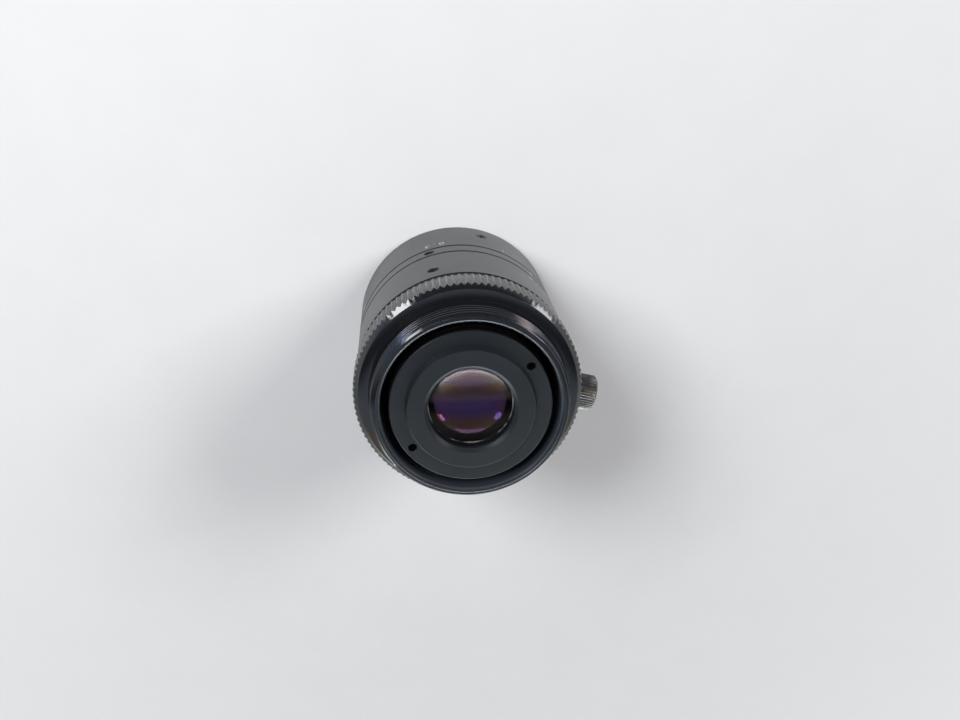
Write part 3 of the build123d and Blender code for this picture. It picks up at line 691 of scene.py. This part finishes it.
# %% A socket that does sums
class Wire:
    """A socket whose sums, products and comparisons add Math nodes to its tree."""

    def __init__(self, nodes, socket):
        self.nodes, self.socket = nodes, socket

    def math(self, operation, first, second=0.0, clamp=False):
        settings = {"operation": operation, "use_clamp": clamp}
        return self.nodes.node("ShaderNodeMath", settings, {0: first, 1: second})

    def __add__(self, other):
        return self.math("ADD", self, other)

    __radd__ = __add__

    def __sub__(self, other):
        return self.math("SUBTRACT", self, other)

    def __rsub__(self, other):
        return self.math("SUBTRACT", other, self)

    def __mul__(self, other):
        return self.math("MULTIPLY", self, other)

    def __truediv__(self, other):
        return self.math("DIVIDE", self, other)

    def __abs__(self):
        return self.math("ABSOLUTE", self)

    def above(self, low, high):
        """0 below low, 1 above high, and a straight ramp between."""
        return self.math("MULTIPLY", self - low, 1 / (high - low), clamp=True)

    def largest(self, other):
        return self.math("MAXIMUM", self, other)

    def root(self):
        return self.math("SQRT", self)


class Nodes:
    """A node tree that grows node by node."""

    def __init__(self, tree):
        self.tree = tree

    def node(self, kind, settings, inputs, output=0):
        """Adds one node: its settings first, then the values or links of its sockets."""
        made = self.tree.nodes.new(kind)
        for key, value in settings.items():
            setattr(made, key, value)
        for key, value in inputs.items():
            self.feed(made.inputs[key], value)
        return Wire(self, made.outputs[output])

    def feed(self, socket, value):
        """Links a wire to a socket, or sets the socket's value."""
        if isinstance(value, Wire):
            self.tree.links.new(value.socket, socket)
        else:
            socket.default_value = value

    def parts(self, kind, inputs, *outputs):
        """Several outputs of one node."""
        made = self.node(kind, {}, inputs).socket.node
        return [Wire(self, made.outputs[name]) for name in outputs]

    def blend(self, share, first, second):
        """A colour between two colours."""
        pair = [(*c, 1) if isinstance(c, tuple) else c for c in (first, second)]
        inputs = {0: share, 6: pair[0], 7: pair[1]}
        return self.node("ShaderNodeMix", {"data_type": "RGBA"}, inputs, 2)


print("wires and nodes ready")

# %% A finish
class Finish(Nodes):
    """A material, with its constants on the shader's own sockets. Its place is the point in the lens's
    own frame, r is the distance from the axis and z the height, all in metres."""

    def __init__(self, name, **constants):
        self.material = bpy.data.materials.new(name)
        self.material.use_nodes = True
        super().__init__(self.material.node_tree)
        self.shader = self.tree.nodes["Principled BSDF"]
        for key, value in constants.items():
            self.shader.inputs[key.replace("_", " ").title().replace("Ior", "IOR")].default_value = value
        self.place = self.node("ShaderNodeTexCoord", {}, {}, "Object")
        x, y, self.z = self.parts("ShaderNodeSeparateXYZ", {0: self.place}, 0, 1, 2)
        self.r = (x * x + y * y).root()

    def noise(self, size, detail=2.0, roughness=0.5, where=None):
        """A noise whose lumps are about this size in mm."""
        inputs = {"Vector": where or self.place, "Scale": 1 / (size * MM), "Detail": detail,
                  "Roughness": roughness}
        return self.node("ShaderNodeTexNoise", {}, inputs, "Fac")

    def rings(self, size):
        """Fine rings round the axis, as a lathe's tool leaves them."""
        where = self.node("ShaderNodeCombineXYZ", {}, {0: self.r, 1: self.z, 2: 0.0})
        return self.noise(size, 3.0, 0.6, where)

    def near_circle(self, radius, height, width):
        """1 on a turned edge, falling to 0 at a width from it. All in mm."""
        across = self.r - radius * MM
        along = self.z - height * MM
        gap = (across * across + along * along).root()
        return 1 - gap.above(0, width * MM)

    def worn(self, edges, width):
        """Where the finish has rubbed through along turned edges, broken up by noise."""
        mask = self.near_circle(*edges[0], width)
        for edge in edges[1:]:
            mask = mask.largest(self.near_circle(*edge, width))
        patches = self.noise(1.6, 3).above(0.42, 0.7)
        return (mask * patches).above(0.15, 0.6)

    def bump(self, height, depth, strength=1.0):
        """Feeds a height map to the shader's normal. depth is in mm."""
        inputs = {"Height": height, "Distance": depth * MM, "Strength": strength}
        self.set(Normal=self.node("ShaderNodeBump", {}, inputs))

    def set(self, **values):
        """Feeds the shader's sockets by name, with _ for each space."""
        for key, value in values.items():
            self.feed(self.shader.inputs[key.replace("_", " ")], value)

    def dress(self, *objects):
        """Gives the finish to pieces, in place of what they had."""
        for obj in objects:
            obj.data.materials.clear()
            obj.data.materials.append(self.material)


print("finishes ready")

# %% [markdown]
# ## Black anodised aluminium
#
# The rings are turned, lightly blasted and anodised black. Up close there is a very fine grain and the
# tool's rings under it, and handling leaves soft patches that shine a little more. The finish rubs off
# first on the sharp edges, where pale metal shows. Black metal looks grey in the photograph wherever it
# mirrors the table at a low angle, so that grey is left to the reflection, and the colour stays black.
# The walls of holes and recesses, the chamfers and narrow bands beside the joints are painted a matt
# black or dark grey instead, as painted shade.

# %% Anodised finishes
BLACK = (0.0085, 0.009, 0.0105)
BARE = (0.36, 0.36, 0.37)
DUST = (0.25, 0.24, 0.23)
# Painted shade for holes, recesses and the bands beside joints:
SHADE_BLACK = (0.002, 0.002, 0.0022)
GRAIN = 0.0016


def anodised(name, edges, roughness=0.3, colour=BLACK, ring_depth=0.0022, wear=0.09, depth=GREAT,
             deep=SHADE_BLACK, joints=(), shine=0.68):
    """A black anodised finish. edges are the turned edges that are rubbed, as (radius, height).
    What lies deeper than the radius depth, such as the wall of a hole, is painted the plain colour deep
    and made matt, as painted shade. joints are the bands, as (low, high), beside a joint or in a recess,
    which are painted the same way, as painted shade."""
    finish = Finish(name, specular_ior_level=shine)
    smudge = finish.noise(5.0, 3)
    grain = finish.noise(0.07, 2)
    rings = finish.rings(0.09)
    dust = finish.noise(0.22, 2).above(0.75, 0.79)
    worn = finish.worn(edges, wear) if edges else 0.0
    lively = finish.blend(smudge, colour, tuple(c * 1.35 for c in colour))
    dusty = finish.blend(dust * 0.3, lively, DUST)
    rough = roughness - 0.04 + smudge * 0.1 + grain * 0.05 + dust * 0.2
    # Painted shade: what lies deeper than depth, and the bands of joints, take the colour deep and turn matt.
    inside = 1 - finish.r.above((depth - 0.06) * MM, (depth - 0.02) * MM)
    for low, high in joints:
        above_low = finish.z.above((low - 0.04) * MM, low * MM)
        inside = inside.largest(above_low - finish.z.above(high * MM, (high + 0.04) * MM))
    dusty = finish.blend(inside, dusty, deep)
    rough = rough.largest(inside * 0.7)
    finish.set(
        Base_Color=finish.blend(worn, dusty, BARE) if edges else dusty,
        Roughness=rough,
        Metallic=worn,
    )
    finish.bump(rings * ring_depth / GRAIN + grain, GRAIN)
    return finish


# Bands beside the joints between the rings are painted black and matt, as painted shade in the gaps.
SHADE_SPAN = 0.18
SHADED_JOINTS = [(index_high - SHADE_SPAN, iris_low + SHADE_SPAN), (focus_high - SHADE_SPAN, index_low + SHADE_SPAN)]
barrel_black = anodised("barrel black", [], joints=SHADED_JOINTS)
barrel_black.dress(wide_ring, narrow_ring)
front_black = anodised("front ring black", [(GREAT - 0.1, focus_low + 0.2)], depth=13.1, joints=SHADED_JOINTS[1:])
front_black.dress(front_ring)
# The bore of the boss, seen in the gap round the glass cell, is painted a matt dark blue-grey as painted
# shade.
tube_black = anodised("tube black", [], roughness=0.12, ring_depth=0.002, depth=BOSS_BORE + 0.22,
                      deep=(0.024, 0.03, 0.038), shine=0.62)
tube_black.dress(fixed_tube)
# On the glass cell the band from 2.5 to 3.9 mm high, with the spanner holes, the hub's bore and the cell's
# outer wall, is painted black and matt as painted shade; the worn lip at the glass stays bare.
cell_black = anodised("cell black", [(5.4, 3.04)], roughness=0.38, colour=(0.0085, 0.011, 0.0135),
                      ring_depth=0.003, wear=0.16, depth=5.0, joints=[(2.5, 3.9)], shine=0.31)
cell_black.dress(rear_cell)
print("anodised finishes ready, joints shaded at", [round(high, 2) for low, high in SHADED_JOINTS], "mm")

# %% [markdown]
# ## The knurl's rubbed tips
#
# Fingers polish the tips of the teeth, while the valleys stay black. The mask comes from the distance to
# the axis, so the bright line follows each tip exactly.

# %% Knurl finish
RUBBED = (0.3, 0.3, 0.31)


def knurl(name, tip, depth):
    """Anodised metal with tips rubbed bright on the straight side, below the chamfer."""
    finish = Finish(name, specular_ior_level=0.72)
    patches = finish.noise(2.2, 4)
    grain = finish.noise(0.06, 3)
    high = finish.r.above((tip - 0.3 * depth) * MM, (tip - 0.02) * MM)
    side = 1 - finish.z.above(-0.9 * MM, -0.72 * MM)
    rubbed = (high * side * (0.2 + patches * 0.9)).above(0.5, 1.0)
    finish.set(
        Base_Color=finish.blend(rubbed, BLACK, RUBBED),
        Metallic=rubbed * 0.9,
        Roughness=0.06 + side * 0.16 + patches * 0.06 + grain * 0.05,
    )
    finish.bump(grain + finish.rings(0.12) * 0.7, 0.002)
    return finish


knurl("grip ring black", TIP, KNURL_DEPTH).dress(grip_ring)
print("knurl rubbed from radius", round(TIP - 0.3 * KNURL_DEPTH, 3), "mm")

# %% [markdown]
# ## Screws, works and paint
#
# The thumb screws are nickel-plated: grey, soft in shine, and dirty in patches. The pieces
# inside are blackened against stray light, the focusing nut and its ring are brass, and the blades are
# blued spring steel. They hardly show, but each keeps its own finish, because they can show from the
# front and with the iris closed.

# %% Other metals
def bright(name, colour, roughness, dirt=(0.05, 0.045, 0.04), grime=0.35):
    """A turned metal that shows its own colour, with dirt in patches."""
    finish = Finish(name, metallic=1.0)
    patches = finish.noise(0.9, 4).above(0.45, 0.75)
    grain = finish.noise(0.08, 3)
    finish.set(
        Base_Color=finish.blend(patches * grime, colour, dirt),
        Roughness=roughness + patches * 0.15 + grain * 0.08,
    )
    finish.bump(grain, 0.0025)
    return finish


def blackened(name, colour=(0.012, 0.012, 0.013), roughness=0.55):
    """A matt black that keeps stray light down inside the lens."""
    finish = Finish(name, specular_ior_level=0.4)
    grain = finish.noise(0.12, 3)
    finish.set(
        Base_Color=finish.blend(grain, colour, tuple(c * 1.8 for c in colour)),
        Roughness=roughness - 0.08 + grain * 0.16,
    )
    finish.bump(grain + finish.rings(0.15), 0.004)
    return finish


# %% Dressing the screws and the works
nickel = bright("nickel screw", (0.125, 0.118, 0.108), 0.24, dirt=(0.02, 0.018, 0.016), grime=0.7)
brass = bright("brass nut", (0.62, 0.5, 0.26), 0.22)
ground = bright("ground pin", (0.6, 0.6, 0.6), 0.2, grime=0.1)
black_steel = blackened("black steel", (0.02, 0.02, 0.021), 0.4)
blued = blackened("blued blade", (0.02, 0.021, 0.024), 0.42)
inside = blackened("blackened inside")
nickel.dress(iris_thumb_screw, focus_thumb_screw)

nodes = frame["nodes"]
brass.dress(nodes["focusing_nut"], nodes["nut_lock_ring"])
ground.dress(nodes["guide_pins"])
black_steel.dress(nodes["index_ring_screws"], nodes["iris_drive_pin"], nodes["iris_snap_ring"])
blued.dress(*(nodes[f"iris_blade_{n}"] for n in range(1, 7)))
inside.dress(*(nodes[name] for name in (
    "lens_barrel", "front_retaining_ring", "rear_retaining_ring", "front_spacer", "middle_spacer",
    "rear_spacer", "iris_base", "iris_cam_ring")))

paint = Finish("scale paint", specular_ior_level=0.4)
flecks = paint.noise(0.12, 3)
paint.set(Base_Color=paint.blend(flecks, (0.4, 0.4, 0.39), (0.62, 0.62, 0.6)), Roughness=0.5 + flecks * 0.15)
paint.dress(focus_scale, iris_scale, iris_ticks, index_line)
print("materials", len(bpy.data.materials))

# %% [markdown]
# ## Coated glass
#
# Bare glass throws back four percent of the light at each face. A coating a few hundred millionths of a
# millimetre thick takes most of it away and leaves a colour, violet or amber by its thickness. Cycles
# has this as thin film on the shader itself, so each element gets its own film and its own glass.

# %% Glass finishes
def coated(name, ior, film, tint):
    """Clear glass with a thin film. film is its thickness in millionths of a millimetre."""
    finish = Finish(name, ior=ior, transmission_weight=1.0)
    finish.shader.inputs["Thin Film Thickness"].default_value = film
    finish.shader.inputs["Thin Film IOR"].default_value = 1.38
    finish.shader.inputs["Base Color"].default_value = (*tint, 1)
    haze = finish.noise(0.6, 3).above(0.6, 0.85)
    finish.set(Roughness=haze * 0.02)
    return finish


FILMS = {
    "rear_glass": (1.62, 99, (0.93, 0.9, 0.95)),
    "pair_rear_glass": (1.62, 96, (0.95, 0.92, 0.98)),
    "pair_front_glass": (1.72, 300, (0.95, 0.92, 0.95)),
    "third_glass": (1.6, 104, (0.97, 0.95, 0.97)),
    "second_glass": (1.7, 290, (0.97, 0.95, 0.97)),
    "front_glass": (1.62, 110, (0.97, 0.95, 0.97)),
}
for node, (ior, film, tint) in FILMS.items():
    coated(f"coated {lenses[node].name.replace('_', ' ')}", ior, film, tint).dress(lenses[node])
print("coated elements", len(FILMS))

# %% [markdown]
# ## Putting each piece on its body
#
# The frame has a joint for every ring, screw and blade. Each new piece rides on the body that its solid
# rides on, so that it turns and slides with it, and stands in for that solid.

# %% Riding and replacing
STAND_INS = [
    (fixed_tube, "fixed_barrel", "main_barrel", "black_anodised"),
    (grip_ring, "fixed_barrel", "mount_grip_ring", "bright_knurl"),
    (wide_ring, "iris_ring", "iris_ring", "black_anodised"),
    (narrow_ring, "fixed_barrel", "index_ring", "black_anodised"),
    (front_ring, "focus_ring", "focus_ring", "black_anodised"),
    (rear_cell, "lens_unit", "rear_cell", "black_anodised"),
    (iris_thumb_screw, "iris_lock", "iris_lock_screw", "steel_screws"),
    (focus_thumb_screw, "focus_lock", "focus_lock_screw", "steel_screws"),
]
STAND_INS += [(lens, "lens_unit", node, "coated_glass") for node, lens in lenses.items()]
for piece, body, node, slot in STAND_INS:
    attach(piece, body)
    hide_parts(node)
for piece, body in ((focus_scale, "focus_ring"), (iris_scale, "iris_ring"), (iris_ticks, "iris_ring"),
                    (index_line, "fixed_barrel")):
    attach(piece, body)
print("pieces that stand in for solids", len(STAND_INS))

# %% [markdown]
# ## Table, lamps and room
#
# The lens stands on a white table that fills the picture. Two large windows behind it, left and right,
# throw the soft shadows to its sides, and the rest of the room is an even light. Far out the table fades
# into the pale backdrop, so that no edge of it shows from the side.
#
# What black metal and glass mirror is drawn apart from what lights them: a room with panes on both sides
# for the glints, dark behind, and brightest low on the front wall, which makes the pale crescent on the
# rear glass. One set of lamps could do both, but each new glint would then change the shadows.

# %% Table
TABLE = focus_low * MM
bpy.ops.mesh.primitive_plane_add(size=1.2, enter_editmode=True)
bpy.ops.mesh.select_all(action="SELECT")
bpy.ops.mesh.subdivide(number_cuts=8)
bpy.ops.transform.translate(value=(0, 0, TABLE))
bpy.ops.object.mode_set(mode="OBJECT")
table = bpy.context.object
table.name = "table"
bpy.ops.object.select_all(action="DESELECT")
PALE = (0.86, 0.865, 0.88)
FADE_FROM, FADE_TO = 0.06, 0.19
white = Finish("table white", specular_ior_level=0.1)
mottle = white.noise(9, 4)
white.set(
    Base_Color=white.blend(mottle, (0.82, 0.82, 0.83), (0.86, 0.86, 0.87)),
    Roughness=0.7 + mottle * 0.1,
)
white.bump(white.noise(0.8, 3), 0.02, 0.3)
far = white.r.above(FADE_FROM, FADE_TO) * white.node("ShaderNodeLightPath", {}, {}, "Is Camera Ray")
backdrop = white.node("ShaderNodeEmission", {}, {0: (*PALE, 1)})
faded = white.node("ShaderNodeMixShader", {}, {0: far, 1: Wire(white, white.shader.outputs[0]), 2: backdrop})
white.feed(white.tree.nodes["Material Output"].inputs["Surface"], faded)
white.dress(table)
print("table at", round(TABLE / MM, 2), "mm")

# %% Lamps
def lamp(name, azimuth, rise, width, height, radiance, distance=0.5, tint=(1, 1, 1), mirrored=False):
    """A square lamp that faces the lens, at an angle round it and an angle above the table, in degrees.
    radiance is how bright its face looks. It either lights the scene, or only shows in what mirrors it."""
    a, h = math.radians(azimuth), math.radians(rise)
    towards = Vector((math.cos(a) * math.cos(h), math.sin(a) * math.cos(h), math.sin(h)))
    bpy.ops.object.light_add(type="AREA", location=towards * distance)
    made = bpy.context.object
    made.name = name
    made.rotation_euler = towards.to_track_quat("Z", "Y").to_euler()
    made.data.shape = "RECTANGLE"
    made.data.size, made.data.size_y = width, height
    made.data.energy = radiance * math.pi * width * height
    made.data.color = tint
    made.visible_camera = False
    made.visible_diffuse = not mirrored
    made.visible_glossy = made.visible_transmission = mirrored
    return made


lamp("left window", 136, 42, 0.185, 0.168, 14.2, distance=0.42, tint=(0.97, 0.99, 1.0))
lamp("right window", 36, 35, 0.26, 0.22, 12.4, distance=0.65, tint=(1.0, 0.99, 0.98))
lamp("low left pane", 137, 16, 0.13, 0.165, 13.0, mirrored=True)
lamp("high left pane", 145, 34, 0.09, 0.08, 7.0, tint=(0.5, 0.6, 1.0), mirrored=True)
lamp("low right pane", 30, 13, 0.13, 0.14, 8.0, mirrored=True)
lamp("high right pane", 35, 34, 0.09, 0.08, 7.0, tint=(1.0, 0.85, 0.85), mirrored=True)
lamp("back wall", 88, 31, 0.4, 0.06, 1.9, mirrored=True)

# %% Room light
world = bpy.context.scene.world or bpy.data.worlds.new("room")
bpy.context.scene.world = world
world.use_nodes = True
room = Nodes(world.node_tree)
background = room.tree.nodes["Background"]


def steps_of(value, stops):
    """A colour ramp along a value from 0 to 1, from a list of (value, colour)."""
    made = room.node("ShaderNodeValToRGB", {}, {0: value})
    ramp = made.socket.node.color_ramp.elements
    while len(ramp) < len(stops):
        ramp.new(0.5)
    for stop, (at, colour) in zip(ramp, stops):
        stop.position, stop.color = at, (*colour, 1)
    return made


def smooth(value, low, high, start=0.0, end=1.0):
    """A soft step from start to end, between two values."""
    return room.node("ShaderNodeMapRange", {"interpolation_type": "SMOOTHSTEP"},
                     {0: value, 1: low, 2: high, 3: start, 4: end})


direction = room.node("ShaderNodeTexCoord", {}, {}, "Generated")
x, y, height = room.parts("ShaderNodeSeparateXYZ", {0: direction}, 0, 1, 2)
frontness = y * -1.0
camera_ray, glossy_ray, clear_ray = room.parts(
    "ShaderNodeLightPath", {}, "Is Camera Ray", "Is Glossy Ray", "Is Transmission Ray")
print("room ready to draw")

# %% What the lens mirrors
CEILING = [
    (-1.0, (0.035, 0.035, 0.045)), (-0.65, (0.05, 0.05, 0.06)), (-0.45, (0.2, 0.26, 0.42)),
    (-0.2, (0.38, 0.48, 0.78)), (0.0, (0.4, 0.45, 0.56)), (0.18, (0.06, 0.07, 0.09)),
    (0.29, (0.022, 0.026, 0.037)), (0.335, (0.05, 0.06, 0.085)), (0.375, (0.34, 0.41, 0.5)),
    (0.42, (0.58, 0.69, 0.82)), (0.5, (0.56, 0.66, 0.78)), (0.6, (0.55, 0.6, 0.7)),
]
FRONT_WALL = [
    (0.2, (14.0, 16.0, 18.0)), (0.3, (12.0, 14.0, 15.5)), (0.38, (6.6, 7.4, 7.8)), (0.46, (3.5, 3.9, 3.7)),
    (0.54, (2.5, 2.6, 2.0)), (0.69, (1.25, 1.0, 0.45)), (0.81, (0.9, 0.45, 0.45)), (0.87, (0.56, 0.66, 0.78)),
]
EVEN = (0.185, 0.188, 0.195)
ceiling = steps_of(frontness * 0.5 + 0.5, [(at / 2 + 0.5, colour) for at, colour in CEILING])
facing = smooth(frontness, 0.45, 0.62) * smooth(abs(x), 0.5, 0.72, 1.0, 0.0)
horizon = smooth(height, 0.12, 0.24, 1.0, 0.0) * smooth(frontness, 0.3, 0.6, 1.0, 0.0)
mirrored = room.blend(horizon, room.blend(facing, ceiling, steps_of(height, FRONT_WALL)), PALE)
room_light = room.blend(glossy_ray.largest(clear_ray), EVEN, mirrored)
room.feed(background.inputs["Color"], room.blend(camera_ray, room_light, PALE))
background.inputs["Strength"].default_value = 1.0
world.cycles.sampling_method = "NONE"
print("room nodes", len(room.tree.nodes))

# %% [markdown]
# ## The camera
#
# Its place and turn were fitted to the photograph: the mount faces it, and the lens is seen from above and
# a little to one side. The three vectors are the camera's own right, up and back.

# %% Camera
PLACE = Vector((-7.676, 49.422, 107.431)) * MM
RIGHT = Vector((0.9964, 0.0, 0.0846))
UP = Vector((0.0324, 0.9239, -0.3813))
BACK = Vector((-0.0782, 0.3827, 0.9206))
bpy.ops.object.camera_add()
camera = bpy.context.object
camera.matrix_world = Matrix.Translation(PLACE) @ Matrix((RIGHT, UP, BACK)).transposed().to_4x4()
camera.data.lens = 34.25
camera.data.sensor_width = 36
camera.data.clip_start = 0.001
camera.data.clip_end = 5
scene = bpy.context.scene
scene.camera = camera
scene.view_settings.view_transform = "Standard"
print("camera", round(PLACE.length / MM), "mm from the flange")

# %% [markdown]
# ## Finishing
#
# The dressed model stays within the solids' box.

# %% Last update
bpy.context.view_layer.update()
